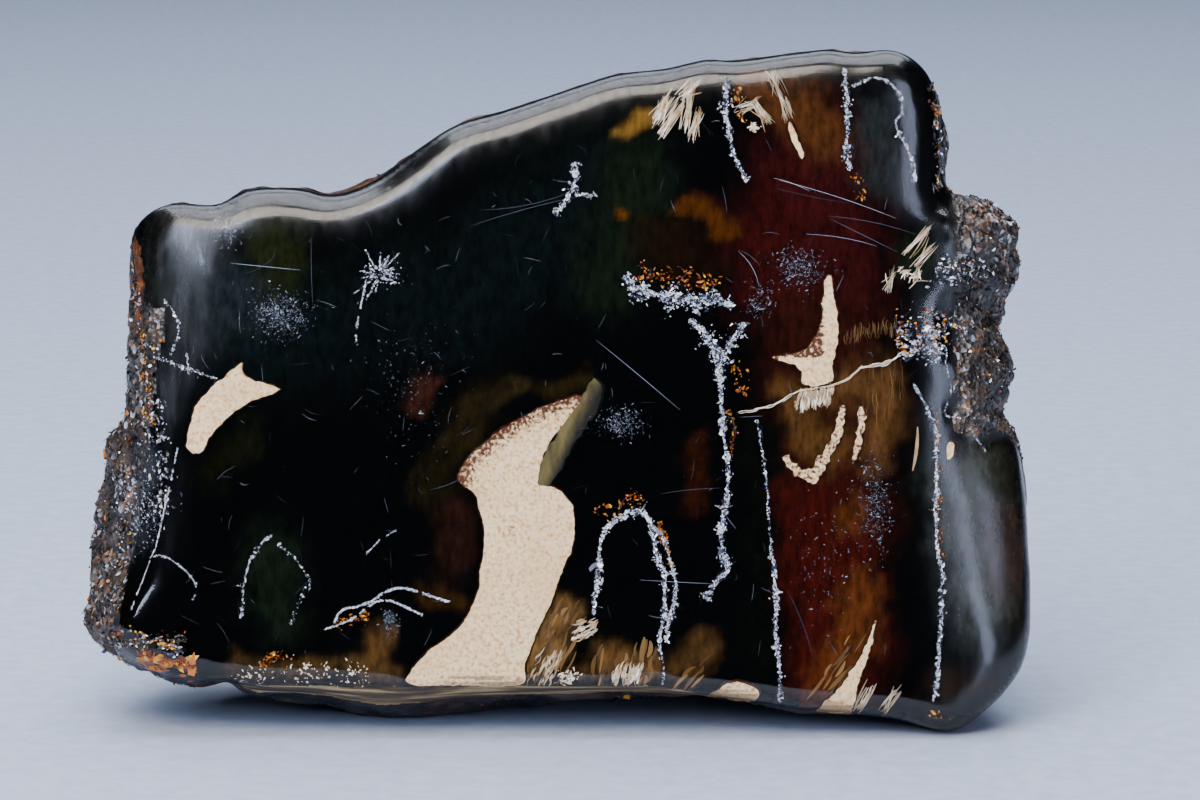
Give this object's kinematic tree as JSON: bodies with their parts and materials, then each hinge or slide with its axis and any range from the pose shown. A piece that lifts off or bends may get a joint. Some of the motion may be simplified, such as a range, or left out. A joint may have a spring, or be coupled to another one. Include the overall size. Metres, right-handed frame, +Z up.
{
  "type": "raw amber piece",
  "caption": "Lump of dark raw amber with a polished window face, crusted broken ends, shell-shaped fractures on its back and a flat foot, to stand on a shelf as a specimen.",
  "frame": {"origin": "on the surface that the lump stands on, under the middle of its box", "axes": "+Z up; -Y is the side of the polished window, which leans back 10 degrees; +X to the right when facing the window"},
  "size_m": [0.0962, 0.0406, 0.0682],
  "materials": {
    "amber": "dark clear amber, polished on the window",
    "crust": "rough weathered crust on the broken ends and the back",
    "pale_inclusion": "opaque cream amber and pale crack fillings, polished flush"
  },
  "bodies": {
    "root": {"amber": "amber"}
  },
  "joints": []
}
